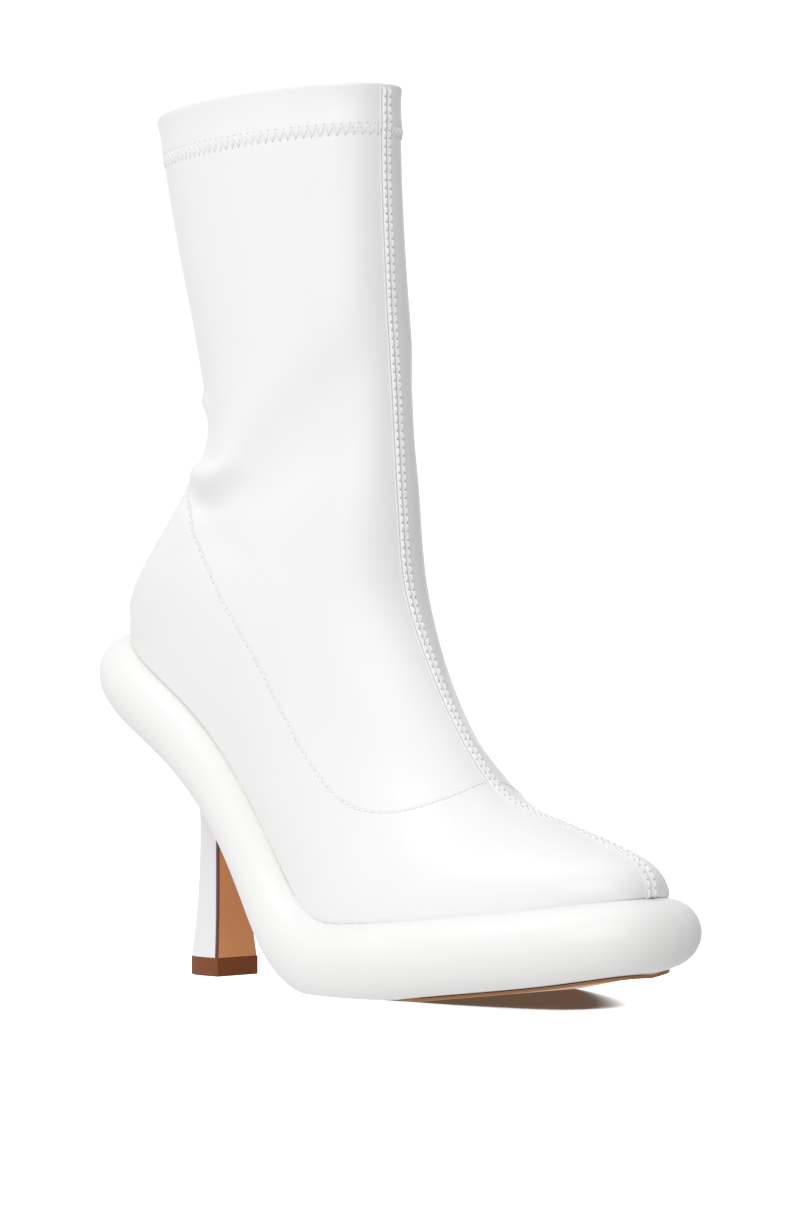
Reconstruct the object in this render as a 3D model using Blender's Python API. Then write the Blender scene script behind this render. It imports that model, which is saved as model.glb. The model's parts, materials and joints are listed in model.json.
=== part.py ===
"""Right-foot ankle boot on a slim heel: a sock-like leather upper on a tube-edged platform sole.

The tables are in millimetres, and meshes are made in metres. x runs to the toe, y to the wearer's
left and z up, and the floor is z = 0. A place on the upper is given by its section, counted from
the toe tip (0) to the collar, and by its turn, from the front ridge (0) to the bottom edge or the
back of the leg (1).
"""
import bmesh
import bpy
import numpy as np

MM = 0.001
MERGE = 1e-6
GAP = 0.3
OUTER = -1
INNER = 1

WALL = 1.8
SEAM_HALF = 2.6
SEAM_STEP = 0.5
HEM_HEIGHT = 13.0
HEM_STEP = 0.5
STEP_RUN = 0.5
UPPER_TURNS = 12
ROWS_PER_SECTION = 2

TUBE_POINTS = 11
OUTSOLE_THICK = 1.4
INSOLE_THICK = 1.6
INSOLE_INSET = 3.4

LIFT_HEIGHT = 6.0
BREAST_THICK = 1.2
HEEL_POINTS = 20
HEEL_SQUARENESS = 0.6

# Each section leans from a point on the sole's edge or the back of the leg to one on the front
# ridge. The squared half width along it is a quartic: the edges' at the bottom, mid_half's halfway
# up, none at the ridge, with a back_radius and a front_radius as its curves at the two ends.
SECTION_COLUMNS = (
    "bottom_x", "bottom_y", "bottom_z", "top_x", "top_y", "top_z",
    "edge_out", "edge_in", "back_radius", "mid_half", "front_radius",
)
SECTIONS = {
    "toe_tip": (102.6, 2.4, 31.9, 102.6, 2.4, 31.9, 0.0, 0.0, 0.0, 0.0, 0.0),
    "toe_end": (101.6, 2.4, 31.8, 102.9, 2.4, 35.6, 6.6, 7.4, 0.0, 5.6, 9.6),
    "toe_round": (98.2, 2.3, 31.3, 100.4, 2.3, 40.2, 12.4, 13.4, 1.4, 11.0, 17.6),
    "toe_box": (91.0, 2.0, 30.2, 93.8, 2.0, 44.4, 18.6, 19.8, 1.7, 16.6, 25.9),
    "toe_side": (79.0, 1.6, 28.4, 80.5, 1.6, 49.0, 25.6, 26.6, 0.5, 22.5, 31.0),
    "vamp": (62.0, 1.0, 26.3, 62.0, 1.0, 54.4, 32.4, 32.6, 0.0, 27.4, 30.0),
    "ball_front": (40.0, 0.5, 24.0, 43.0, 0.5, 62.0, 38.0, 37.4, 0.0, 30.6, 20.0),
    "ball": (17.0, 0.0, 22.3, 28.5, 0.0, 78.0, 38.6, 36.0, 1.8, 30.2, 10.8),
    "joint": (-4.0, 0.0, 23.2, 18.6, 0.0, 93.0, 34.6, 29.8, 5.5, 29.2, 9.4),
    "waist": (-22.0, 0.0, 35.6, 9.6, 0.0, 109.5, 29.6, 24.4, 8.0, 28.8, 10.0),
    "arch": (-42.0, 0.0, 59.6, 3.6, 0.0, 126.0, 27.0, 23.2, 9.0, 29.4, 11.4),
    "breast": (-64.0, -1.0, 82.6, 1.5, 0.0, 143.0, 26.2, 24.4, 8.0, 30.0, 12.6),
    "seat": (-86.6, -2.0, 98.0, 0.4, 0.0, 157.0, 24.8, 24.4, 7.6, 29.8, 12.6),
    "corner": (-100.6, -2.4, 105.8, -0.4, 0.0, 167.0, 19.4, 19.4, 15.4, 29.2, 11.8),
    "heel_side": (-106.6, -2.5, 109.2, -0.9, 0.0, 174.0, 11.0, 11.0, 23.6, 28.6, 11.2),
    "heel_back": (-108.4, -2.5, 110.8, -1.3, 0.0, 180.0, 0.0, 0.0, 27.2, 28.3, 11.0),
    "counter": (-106.0, -2.4, 118.5, -1.8, 0.0, 187.0, 0.0, 0.0, 25.8, 27.9, 11.0),
    "pad": (-96.0, -1.8, 133.0, -2.4, 0.0, 194.0, 0.0, 0.0, 23.6, 27.4, 11.4),
    "tendon": (-84.9, -1.0, 150.0, -3.0, 0.0, 201.5, 0.0, 0.0, 19.4, 26.8, 12.8),
    "ankle": (-78.6, -0.3, 168.0, -3.7, 0.0, 209.5, 0.0, 0.0, 15.2, 26.1, 15.0),
    "shin": (-80.5, -0.1, 187.0, -4.4, 0.0, 221.0, 0.0, 0.0, 14.8, 26.0, 15.8),
    "calf_low": (-88.0, 0.0, 212.0, -5.3, 0.0, 236.0, 0.0, 0.0, 15.1, 26.5, 15.4),
    "calf": (-97.0, 0.0, 244.0, -6.2, 0.0, 258.0, 0.0, 0.0, 14.7, 26.5, 14.8),
    "collar": (-104.0, 0.0, 274.8, -6.2, 0.0, 281.5, 0.0, 0.0, 14.3, 26.5, 14.0),
}
NAMES = list(SECTIONS)
LAST = len(NAMES) - 1
HEEL_BACK = NAMES.index("heel_back")

# The padded platform: how far its tube stands out past the sole's edge, its thickness, and how far
# the tan outsole below it stays inside that edge. The ball is pressed flat on the floor.
SOLE_COLUMNS = ("out", "thick", "outsole_inset")
SOLE = {
    "toe_tip": (9.0, 20.6, 0.6),
    "toe_side": (9.2, 21.6, 0.6),
    "ball_front": (9.0, 23.2, 0.8),
    "joint": (8.6, 22.8, 2.0),
    "waist": (8.2, 18.4, 5.0),
    "arch": (7.6, 16.8, 9.0),
    "breast": (6.8, 18.2, 13.0),
    "corner": (6.4, 20.0, 13.0),
    "heel_back": (6.6, 20.2, 13.0),
}
OUTSOLE_END = NAMES.index("arch") + 0.64

# Rings of the heel from its top lift to its neck, above which it flares out to its seat.
HEEL_COLUMNS = ("z", "breast_x", "depth", "width", "y")
HEEL_RINGS = {
    "foot": (LIFT_HEIGHT + GAP, -71.4, 15.2, 17.3, -3.7),
    "low": (18.0, -72.4, 13.0, 14.6, -3.7),
    "slim": (34.0, -73.6, 10.9, 12.2, -3.7),
    "neck": (50.0, -73.8, 10.6, 12.0, -3.6),
    "seat": (72.0, -71.4, 22.0, 25.0, -2.4),
}
RINGS_PER_STEP = 3
LIFT_SPREAD = 0.3

COLOURS = {
    "upper": ((0.86, 0.86, 0.85), 0.42),
    "platform": ((0.86, 0.86, 0.85), 0.38),
    "insole": ((0.78, 0.74, 0.68), 0.70),
    "outsole": ((0.48, 0.25, 0.12), 0.50),
    "heel": ((0.84, 0.84, 0.83), 0.38),
    "heel_breast": ((0.48, 0.25, 0.12), 0.50),
    "top_lift": ((0.10, 0.06, 0.045), 0.60),
}


def smooth_curve(knots, values):
    """A natural cubic through the values, as a function of the knots' coordinate."""
    knots = np.asarray(knots, float)
    values = np.asarray(values, float)
    span = np.diff(knots)
    slope = np.diff(values, axis=0) / span[:, None]
    system = np.eye(len(knots))
    load = np.zeros_like(values)
    for i in range(1, len(span)):
        system[i, i - 1:i + 2] = (span[i - 1], 2 * (span[i - 1] + span[i]), span[i])
        load[i] = 6 * (slope[i] - slope[i - 1])
    bend = np.linalg.solve(system, load)

    def at(where):
        where = np.asarray(where, float)
        i = np.clip(np.searchsorted(knots, where, side="right") - 1, 0, len(span) - 1)
        step = span[i][..., None]
        high = (where - knots[i])[..., None] / step
        low = 1 - high
        cubic = (low**3 - low) * bend[i] + (high**3 - high) * bend[i + 1]
        return low * values[i] + high * values[i + 1] + cubic * step**2 / 6

    return at


def table_curve(columns, rows, knots):
    """A function from a coordinate to a dictionary of a table's columns."""
    curve = smooth_curve(knots, list(rows.values()))
    return lambda where: dict(zip(columns, np.moveaxis(curve(where), -1, 0)))


section_at = table_curve(SECTION_COLUMNS, SECTIONS, range(LAST + 1))
sole_at = table_curve(SOLE_COLUMNS, SOLE, [NAMES.index(name) for name in SOLE])


def sole_edge(section, side):
    """Half width of the sole's edge: none behind the heel, where the back of the leg is closed."""
    column = "edge_out" if side == OUTER else "edge_in"
    edge = np.maximum(section_at(section)[column], 0)
    return np.where(np.asarray(section) >= HEEL_BACK, 0.0, edge)


def upper_point(section, turn, side):
    """Points on the smooth outside of the upper."""
    section, turn = np.broadcast_arrays(np.asarray(section, float), np.asarray(turn, float))
    at = section_at(section)
    edge = sole_edge(section, side)
    up = np.cos(turn * np.pi / 2) ** 2
    run_x = at["top_x"] - at["bottom_x"]
    run_z = at["top_z"] - at["bottom_z"]
    length = np.hypot(run_x, run_z)
    full_back = edge**2 + 2 * length * at["back_radius"]
    full_mid = 4 * at["mid_half"] ** 2 - 2 * edge**2
    full_front = 2 * length * at["front_radius"] - edge**2
    full = full_back * (1 - up) * (1 - 2 * up)
    full += 4 * full_mid * up * (1 - up)
    full += full_front * up * (2 * up - 1)
    half = np.sqrt(np.maximum((1 - up) * (edge**2 + up * full), 0))
    x = at["bottom_x"] + run_x * up
    z = at["bottom_z"] + run_z * up
    y = at["bottom_y"] + (at["top_y"] - at["bottom_y"]) * up
    return np.stack([x, y + side * half, z], axis=-1)


def turns_of(section):
    """Turns of one row's points: two at the front seam's step, then even ones to the edge."""
    at = section_at(section)
    length = np.hypot(at["top_x"] - at["bottom_x"], at["top_z"] - at["bottom_z"])
    breadth = np.sqrt(2 * length * max(at["front_radius"], 0)) + 0.01
    shares = [min(half / breadth, 0.5) for half in (SEAM_HALF, SEAM_HALF + STEP_RUN)]
    beside = np.arcsin(shares) * 2 / np.pi
    return np.concatenate([[0], beside, np.linspace(beside[1], 1, UPPER_TURNS)[1:]])


def hem_section(below=0.0):
    """Section coordinate of the hem's lower edge at the back of the leg, or of a line below it."""
    height = SECTIONS["collar"][2] - SECTIONS["calf"][2]
    return LAST - (HEM_HEIGHT + below) / height


def sole_loop():
    """The sole's edge as a closed loop, with its outward and upward directions and its sections."""
    stations = np.linspace(0, HEEL_BACK, HEEL_BACK * ROWS_PER_SECTION + 1)
    stations = np.sort(np.append(stations, OUTSOLE_END))
    sections = np.concatenate([stations, stations[-2:0:-1]])
    sides = np.where(np.arange(len(sections)) < len(stations), OUTER, INNER)
    at = section_at(sections)
    edge = np.where(sides == OUTER, sole_edge(sections, OUTER), sole_edge(sections, INNER))
    loop = np.stack([at["bottom_x"], at["bottom_y"] + sides * edge, at["bottom_z"]], axis=-1)
    pitch = sole_pitch(sections)
    up = np.stack([np.sin(pitch), np.zeros_like(pitch), np.cos(pitch)], axis=-1)
    along = np.roll(loop, -1, axis=0) - np.roll(loop, 1, axis=0)
    out = np.cross(up, along)
    out /= np.linalg.norm(out, axis=1)[:, None]
    return loop, out, up, sections


def sole_pitch(sections):
    """How steeply the sole falls to the toe, in radians, from the chord between each row's neighbours."""
    rows = np.arange(HEEL_BACK + 1)
    ahead = np.clip(rows - 1, 0, HEEL_BACK - 3)
    behind = np.clip(rows + 1, 2, HEEL_BACK - 1)
    bottom = np.array(list(SECTIONS.values()))[:, :3]
    run = bottom[ahead] - bottom[behind]
    pitch = np.arctan2(-run[:, 2], run[:, 0])
    return smooth_curve(rows, pitch[:, None])(sections)[..., 0]


def pressed(points, floor):
    """Points with any part below the floor pressed flat onto it."""
    flat = points.copy()
    flat[..., 2] = np.maximum(flat[..., 2], floor)
    return flat


def sole_layer(out_by, up_by, floor=0.0):
    """The sole's loop moved outward and upward."""
    loop, out, up, _ = sole_loop()
    moved = loop + np.asarray(out_by)[..., None] * out + np.asarray(up_by)[..., None] * up
    return pressed(moved, floor)


def ladder(count):
    """Faces across a loop from the toe tip along one side and back: pointed at the heel if even."""
    rungs = [(i, i + 1, count - i - 1, count - i) for i in range(1, (count - 1) // 2)]
    heel = [(count // 2 - 1, count // 2, count // 2 + 1)] if count % 2 == 0 else []
    return [(0, 1, count - 1)] + rungs + heel


def stacked(loops, cap):
    """Vertices and faces of a solid through stacked loops, closed at both ends by the cap's faces."""
    count = len(loops[0])
    faces = [tuple(reversed(face)) for face in cap]
    for level in range(len(loops) - 1):
        low = level * count
        for i in range(count):
            j = (i + 1) % count
            faces.append((low + i, low + j, low + count + j, low + count + i))
    top = (len(loops) - 1) * count
    faces += [tuple(top + i for i in face) for face in cap]
    return np.concatenate(loops), faces


def new_mesh(points, faces):
    """A mesh under edit, in metres, with coincident points merged."""
    mesh = bmesh.new()
    corners = [mesh.verts.new(point * MM) for point in points]
    for face in faces:
        mesh.faces.new([corners[i] for i in face])
    bmesh.ops.remove_doubles(mesh, verts=mesh.verts, dist=MERGE)
    return mesh


def add_object(name, mesh, parent):
    """A named object with its own material from a mesh under edit."""
    bmesh.ops.recalc_face_normals(mesh, faces=mesh.faces)
    data = bpy.data.meshes.new(name)
    mesh.to_mesh(data)
    mesh.free()
    data.shade_smooth()
    data.set_sharp_from_angle(angle=np.radians(40))
    colour, roughness = COLOURS[name]
    material = bpy.data.materials.new(name)
    material.use_nodes = True
    shader = material.node_tree.nodes["Principled BSDF"]
    shader.inputs["Base Color"].default_value = (*colour, 1)
    shader.inputs["Roughness"].default_value = roughness
    data.materials.append(material)
    piece = bpy.data.objects.new(name, data)
    piece.parent = parent
    bpy.context.collection.objects.link(piece)
    return piece


def upper_mesh():
    """The upper: one skin with a wall inside it, and its hem and front seam raised outside."""
    rows = np.linspace(0, LAST, LAST * ROWS_PER_SECTION + 1)
    sections = np.sort(np.concatenate([rows, [hem_section(), hem_section(STEP_RUN)]]))
    points = []
    steps = []
    for section in sections:
        turns = turns_of(section)
        outer = upper_point(section, turns, OUTER)
        inner = upper_point(section, turns, INNER)
        on_seam = np.arange(len(turns)) < 2
        on_hem = section >= hem_section()
        points.append(np.concatenate([outer[::-1], inner[1:]]))
        steps.append(SEAM_STEP * np.concatenate([on_seam[::-1], on_seam[1:]]) + HEM_STEP * on_hem)
    grid = np.arange(np.size(steps)).reshape(np.shape(steps))
    quads = np.stack([grid[:-1, :-1], grid[:-1, 1:], grid[1:, 1:], grid[1:, :-1]], axis=-1)

    mesh = bmesh.new()
    step_of = mesh.verts.layers.float.new("step")
    corners = [mesh.verts.new(point * MM) for point in np.concatenate(points)]
    for corner, step in zip(corners, np.concatenate(steps)):
        corner[step_of] = step * MM
    for quad in quads.reshape(-1, 4):
        mesh.faces.new([corners[i] for i in quad])
    bmesh.ops.remove_doubles(mesh, verts=mesh.verts, dist=MERGE)
    bmesh.ops.recalc_face_normals(mesh, faces=mesh.faces)
    mesh.normal_update()

    skin = list(mesh.faces)
    rim = [edge.verts[:] for edge in mesh.edges if edge.is_boundary]
    lining = {}
    for corner in list(mesh.verts):
        lining[corner] = mesh.verts.new(corner.co - corner.normal * WALL * MM)
        corner.co += corner.normal * corner[step_of]
    for face in skin:
        mesh.faces.new([lining[corner] for corner in reversed(face.verts)])
    for near, far in rim:
        mesh.faces.new((near, far, lining[far], lining[near]))
    return mesh


def platform_loops():
    """Loops of the padded platform, from its underside around the tube to its top."""
    size = sole_at(sole_loop()[3])
    radius = size["thick"] / 2
    loops = []
    for turn in np.linspace(-np.pi / 2, np.pi / 2, TUBE_POINTS):
        out_by = size["out"] - radius + radius * np.cos(turn)
        up_by = radius * (np.sin(turn) - 1) - GAP
        loops.append(sole_layer(out_by, up_by, OUTSOLE_THICK + GAP))
    return loops


def platform_mesh():
    """The padded platform: a round tube along the sole's edge, filled across."""
    loops = platform_loops()
    return new_mesh(*stacked(loops, ladder(len(loops[0]))))


def insole_mesh():
    """The sock lining on the platform, inside the upper's wall."""
    count = len(sole_loop()[3])
    inset = np.full(count, -INSOLE_INSET)
    loops = [sole_layer(inset, np.full(count, height)) for height in (0.0, INSOLE_THICK)]
    return new_mesh(*stacked(loops, ladder(count)))


def outsole_mesh():
    """The tan sheet under the platform, from the toe to the front of the heel."""
    sections = sole_loop()[3]
    size = sole_at(sections)
    kept = sections <= OUTSOLE_END
    loops = []
    for depth in (OUTSOLE_THICK, 0.0):
        up_by = -size["thick"] - 2 * GAP - depth
        floor = OUTSOLE_THICK - depth
        loops.append(sole_layer(-size["outsole_inset"], up_by, floor)[kept])
    return new_mesh(*stacked(loops, ladder(kept.sum())))


def heel_outline(breast_x, depth, width, middle):
    """Plan of the heel about its middle line: flat in front, rounded behind."""
    turn = np.linspace(-np.pi / 2, np.pi / 2, HEEL_POINTS)
    x = breast_x - depth * np.cos(turn).clip(0) ** HEEL_SQUARENESS
    y = middle + width / 2 * np.sign(np.sin(turn)) * np.abs(np.sin(turn)) ** HEEL_SQUARENESS
    return np.stack([x, y], axis=-1)


def under_platform(x):
    """Height of the platform's underside above the floor at x."""
    underside = platform_loops()[0]
    order = np.argsort(underside[:, 0])
    return np.interp(x, underside[order, 0], underside[order, 2])


def heel_rings():
    """Rings of the heel from its foot to its seat under the platform."""
    *stem, seat = HEEL_RINGS.values()
    steps = (len(stem) - 1) * RINGS_PER_STEP + 1
    rings = []
    for z, *plan in smooth_curve(range(len(stem)), stem)(np.linspace(0, len(stem) - 1, steps)):
        rings.append(np.column_stack([heel_outline(*plan), np.full(HEEL_POINTS, z)]))
    neck = rings[-1]
    plan = heel_outline(*seat[1:])
    rise = np.column_stack([plan, under_platform(plan[:, 0]) - GAP]) - neck
    for share in np.linspace(0, 1, RINGS_PER_STEP + 2)[1:]:
        rings.append(neck + rise * (share**2, share**2, share))
    return rings


def heel_mesh():
    rings = heel_rings()
    return new_mesh(*stacked(rings, [tuple(range(HEEL_POINTS))]))


def breast_mesh():
    """The tan facing on the flat front of the heel."""
    loops = []
    for ring in heel_rings():
        back = ring[0, 0] + GAP
        front = back + BREAST_THICK
        right, left = ring[[0, -1], 1]
        z = min(ring[0, 2], under_platform(front) - GAP)
        loops.append(np.array([(back, right, z), (front, right, z), (front, left, z), (back, left, z)]))
    return new_mesh(*stacked(loops, [(0, 1, 2, 3)]))


def top_lift_mesh():
    """The wearing tip of the heel, flat on the floor."""
    _, breast_x, depth, width, middle = HEEL_RINGS["foot"]
    facing = GAP + BREAST_THICK
    plan = heel_outline(breast_x + facing, depth + facing + LIFT_SPREAD, width + LIFT_SPREAD, middle)
    loops = [np.column_stack([plan, np.full(HEEL_POINTS, height)]) for height in (0.0, LIFT_HEIGHT)]
    return new_mesh(*stacked(loops, [tuple(range(HEEL_POINTS))]))


MAKERS = {
    "upper": upper_mesh,
    "platform": platform_mesh,
    "insole": insole_mesh,
    "outsole": outsole_mesh,
    "heel": heel_mesh,
    "heel_breast": breast_mesh,
    "top_lift": top_lift_mesh,
}


def main():
    for item in list(bpy.data.objects):
        bpy.data.objects.remove(item, do_unlink=True)
    boot = bpy.data.objects.new("boot", None)
    bpy.context.collection.objects.link(boot)
    for name, maker in MAKERS.items():
        add_object(name, maker(), boot)
    corners = np.array([corner.co for piece in boot.children for corner in piece.data.vertices])
    low = corners.min(axis=0)
    high = corners.max(axis=0)
    boot.location = (-(low[0] + high[0]) / 2, -(low[1] + high[1]) / 2, -low[2])


main()
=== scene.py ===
# Looks of a white pull-on ankle boot with a padded tube-edged platform and a slim high heel.
# Lengths are millimetres in the boot's own frame: x to the toe, y to the wearer's left, z up from the floor.
# A place on the upper has a section, from the toe tip (0) to the collar (23), and a turn, from the front
# ridge (0) round the outer side (-1) or the inner side (+1) to the sole's edge or the back of the leg.
import json

import bmesh
import bpy
import numpy as np
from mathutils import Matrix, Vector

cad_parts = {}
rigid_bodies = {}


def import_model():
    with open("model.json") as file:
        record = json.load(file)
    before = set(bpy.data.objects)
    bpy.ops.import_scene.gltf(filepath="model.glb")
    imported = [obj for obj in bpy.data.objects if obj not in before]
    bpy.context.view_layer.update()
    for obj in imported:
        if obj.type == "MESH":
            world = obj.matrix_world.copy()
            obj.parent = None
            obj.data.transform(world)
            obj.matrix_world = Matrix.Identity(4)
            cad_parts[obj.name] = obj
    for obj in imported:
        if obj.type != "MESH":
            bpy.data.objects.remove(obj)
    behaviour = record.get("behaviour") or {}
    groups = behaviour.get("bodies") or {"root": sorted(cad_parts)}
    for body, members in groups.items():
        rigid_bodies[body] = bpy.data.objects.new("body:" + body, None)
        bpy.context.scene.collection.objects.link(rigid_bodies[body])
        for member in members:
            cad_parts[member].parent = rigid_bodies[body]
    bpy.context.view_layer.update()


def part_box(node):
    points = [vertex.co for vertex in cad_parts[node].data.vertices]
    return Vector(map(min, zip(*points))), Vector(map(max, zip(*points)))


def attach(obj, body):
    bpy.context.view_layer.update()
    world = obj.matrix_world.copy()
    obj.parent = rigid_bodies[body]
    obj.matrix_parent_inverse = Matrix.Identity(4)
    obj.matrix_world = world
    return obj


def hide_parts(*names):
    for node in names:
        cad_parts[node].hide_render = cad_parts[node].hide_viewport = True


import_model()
mm = 0.001

# the CAD's top lift says where this frame's origin lies: its front face and its middle line
liftPlan = dict(frontX=-69.9, midY=-3.7)
liftLow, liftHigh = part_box("top_lift")
shift = np.array([
    liftHigh[0] / mm - liftPlan["frontX"],
    (liftLow[1] + liftHigh[1]) / 2 / mm - liftPlan["midY"],
    0.0,
])
print("frame loaded, origin shifted by", np.round(shift, 2), "mm")


def curveThrough(knots, values):
    # natural cubic: the bends at the knots balance the slopes of the spans on both sides
    knots = np.asarray(knots, float)
    values = np.asarray(values, float)
    span = np.diff(knots)
    slope = np.diff(values, axis=0) / span[:, None]
    system = np.eye(len(knots))
    load = np.zeros_like(values)
    for i in range(1, len(span)):
        system[i, i - 1:i + 2] = (span[i - 1], 2 * (span[i - 1] + span[i]), span[i])
        load[i] = 6 * (slope[i] - slope[i - 1])
    bend = np.linalg.solve(system, load)

    def at(where):
        where = np.asarray(where, float)
        i = np.clip(np.searchsorted(knots, where, side="right") - 1, 0, len(span) - 1)
        step = span[i][..., None]
        high = (where - knots[i])[..., None] / step
        low = 1 - high
        cubic = (low**3 - low) * bend[i] + (high**3 - high) * bend[i + 1]
        return low * values[i] + high * values[i + 1] + cubic * step**2 / 6

    return at


def ease(value, start, end):
    # 0 before start, 1 after end, a smooth S between
    share = np.clip((value - start) / (end - start), 0, 1)
    return share**2 * (3 - 2 * share)


def unit(vectors):
    # vectors divided by their lengths
    size = np.linalg.norm(vectors, axis=-1, keepdims=True)
    return vectors / np.maximum(size, 1e-9)


def runAlong(points):
    # length run from the first point, along the first axis
    steps = np.linalg.norm(np.diff(points, axis=0), axis=-1)
    return np.concatenate([np.zeros_like(steps[:1]), np.cumsum(steps, axis=0)])


def distanceTo(points, line):
    # nearest distance from each point to a finely sampled line
    flat = points.reshape(-1, 3)
    near = [np.linalg.norm(part[:, None] - line, axis=2).min(axis=1) for part in np.array_split(flat, 40)]
    return np.concatenate(near).reshape(points.shape[:-1])


# Sections of the upper: each leans from the sole's edge, or the back of the leg, to the front ridge
upperForm = dict(
    columns=("bottomX", "bottomY", "bottomZ", "topX", "topY", "topZ",
             "edgeOut", "edgeIn", "backRadius", "midHalf", "frontRadius"),
    rows=dict(
        toeTip=(102.6, 2.4, 31.9, 102.6, 2.4, 31.9, 0, 0, 0, 0, 0),
        toeEnd=(101.6, 2.4, 31.8, 102.9, 2.4, 35.6, 6.6, 7.4, 0, 5.6, 9.6),
        toeRound=(98.2, 2.3, 31.3, 100.4, 2.3, 40.2, 12.4, 13.4, 1.4, 11.0, 17.6),
        toeBox=(91.0, 2.0, 30.2, 93.8, 2.0, 44.4, 18.6, 19.8, 1.7, 16.6, 25.9),
        toeSide=(79.0, 1.6, 28.4, 80.5, 1.6, 49.0, 25.6, 26.6, 0.5, 22.5, 31.0),
        vamp=(62.0, 1.0, 26.3, 62.0, 1.0, 54.4, 32.4, 32.6, 0, 27.4, 30.0),
        ballFront=(40.0, 0.5, 24.0, 43.0, 0.5, 62.0, 38.0, 37.4, 0, 30.6, 20.0),
        ball=(17.0, 0, 22.3, 28.5, 0, 78.0, 38.6, 36.0, 1.8, 30.2, 10.8),
        joint=(-4.0, 0, 23.2, 18.6, 0, 93.0, 34.6, 29.8, 5.5, 29.2, 9.4),
        waist=(-22.0, 0, 35.6, 9.6, 0, 109.5, 29.6, 24.4, 8.0, 28.8, 10.0),
        arch=(-42.0, 0, 59.6, 3.6, 0, 126.0, 27.0, 23.2, 9.0, 29.4, 11.4),
        breast=(-64.0, -1.0, 82.6, 1.5, 0, 143.0, 26.2, 24.4, 8.0, 30.0, 12.6),
        seat=(-86.6, -2.0, 98.0, 0.4, 0, 157.0, 24.8, 24.4, 7.6, 29.8, 12.6),
        corner=(-100.6, -2.4, 105.8, -0.4, 0, 167.0, 19.4, 19.4, 15.4, 29.2, 11.8),
        heelSide=(-106.6, -2.5, 109.2, -0.9, 0, 174.0, 11.0, 11.0, 23.6, 28.6, 11.2),
        heelBack=(-108.4, -2.5, 110.8, -1.3, 0, 180.0, 0, 0, 27.2, 28.3, 11.0),
        counter=(-106.0, -2.4, 118.5, -1.8, 0, 187.0, 0, 0, 25.8, 27.9, 11.0),
        pad=(-96.0, -1.8, 133.0, -2.4, 0, 194.0, 0, 0, 23.6, 27.4, 11.4),
        tendon=(-84.9, -1.0, 150.0, -3.0, 0, 201.5, 0, 0, 19.4, 26.8, 12.8),
        ankle=(-78.6, -0.3, 168.0, -3.7, 0, 209.5, 0, 0, 15.2, 26.1, 15.0),
        shin=(-80.5, -0.1, 187.0, -4.4, 0, 221.0, 0, 0, 14.8, 26.0, 15.8),
        calfLow=(-88.0, 0, 212.0, -5.3, 0, 236.0, 0, 0, 15.1, 26.5, 15.4),
        calf=(-97.0, 0, 244.0, -6.2, 0, 258.0, 0, 0, 14.7, 26.5, 14.8),
        collar=(-104.0, 0, 274.8, -6.2, 0, 281.5, 0, 0, 14.3, 26.5, 14.0),
    ),
)
sectionNames = list(upperForm["rows"])
collarSection = len(sectionNames) - 1
heelBack = sectionNames.index("heelBack")
formCurve = curveThrough(range(collarSection + 1), list(upperForm["rows"].values()))


def formAt(section):
    # every column of the form, from a cubic through its rows
    return dict(zip(upperForm["columns"], np.moveaxis(formCurve(section), -1, 0)))


def soleEdge(section, side):
    # half width of the sole's edge, none behind the heel where the back of the leg is closed
    at = formAt(section)
    edge = np.maximum(np.where(side < 0, at["edgeOut"], at["edgeIn"]), 0)
    return np.where(np.asarray(section) >= heelBack, 0.0, edge)


def upperPoint(section, turn):
    # along a section the squared half width is a quartic of the way up, cos squared of the turn
    section, turn = np.broadcast_arrays(np.asarray(section, float), np.asarray(turn, float))
    side = np.where(turn < 0, -1.0, 1.0)
    at = formAt(section)
    edge = soleEdge(section, side)
    up = np.cos(turn * np.pi / 2) ** 2
    runX = at["topX"] - at["bottomX"]
    runZ = at["topZ"] - at["bottomZ"]
    length = np.hypot(runX, runZ)
    full = (edge**2 + 2 * length * at["backRadius"]) * (1 - up) * (1 - 2 * up)
    full += 4 * (4 * at["midHalf"] ** 2 - 2 * edge**2) * up * (1 - up)
    full += (2 * length * at["frontRadius"] - edge**2) * up * (2 * up - 1)
    half = np.sqrt(np.maximum((1 - up) * (edge**2 + up * full), 0))
    y = at["bottomY"] + (at["topY"] - at["bottomY"]) * up + side * half
    return np.stack([at["bottomX"] + runX * up, y, at["bottomZ"] + runZ * up], axis=-1)


def upperNormal(section, turn):
    # across the tangents along the turn and along the section, pointing out
    reach = 0.01
    section, turn = np.broadcast_arrays(np.asarray(section, float), np.asarray(turn, float))
    along = upperPoint(np.clip(section + reach, 0, collarSection), turn)
    along = along - upperPoint(np.clip(section - reach, 0, collarSection), turn)
    across = upperPoint(section, np.clip(turn + reach, -1, 1))
    across = across - upperPoint(section, np.clip(turn - reach, -1, 1))
    normal = np.cross(across, along)
    flat = np.linalg.norm(normal, axis=-1, keepdims=True) < 1e-9
    return unit(np.where(flat, np.array([1.0, 0.0, 0.0]), normal))


def turnBeside(section, distance):
    # turn of a line that keeps a distance from the front ridge: arcsine of its share of the ridge's breadth
    at = formAt(section)
    length = np.hypot(at["topX"] - at["bottomX"], at["topZ"] - at["bottomZ"])
    breadth = np.sqrt(2 * length * np.maximum(at["frontRadius"], 0)) + 0.01
    return np.arcsin(np.clip(distance / breadth, -0.95, 0.95)) * 2 / np.pi


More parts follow.
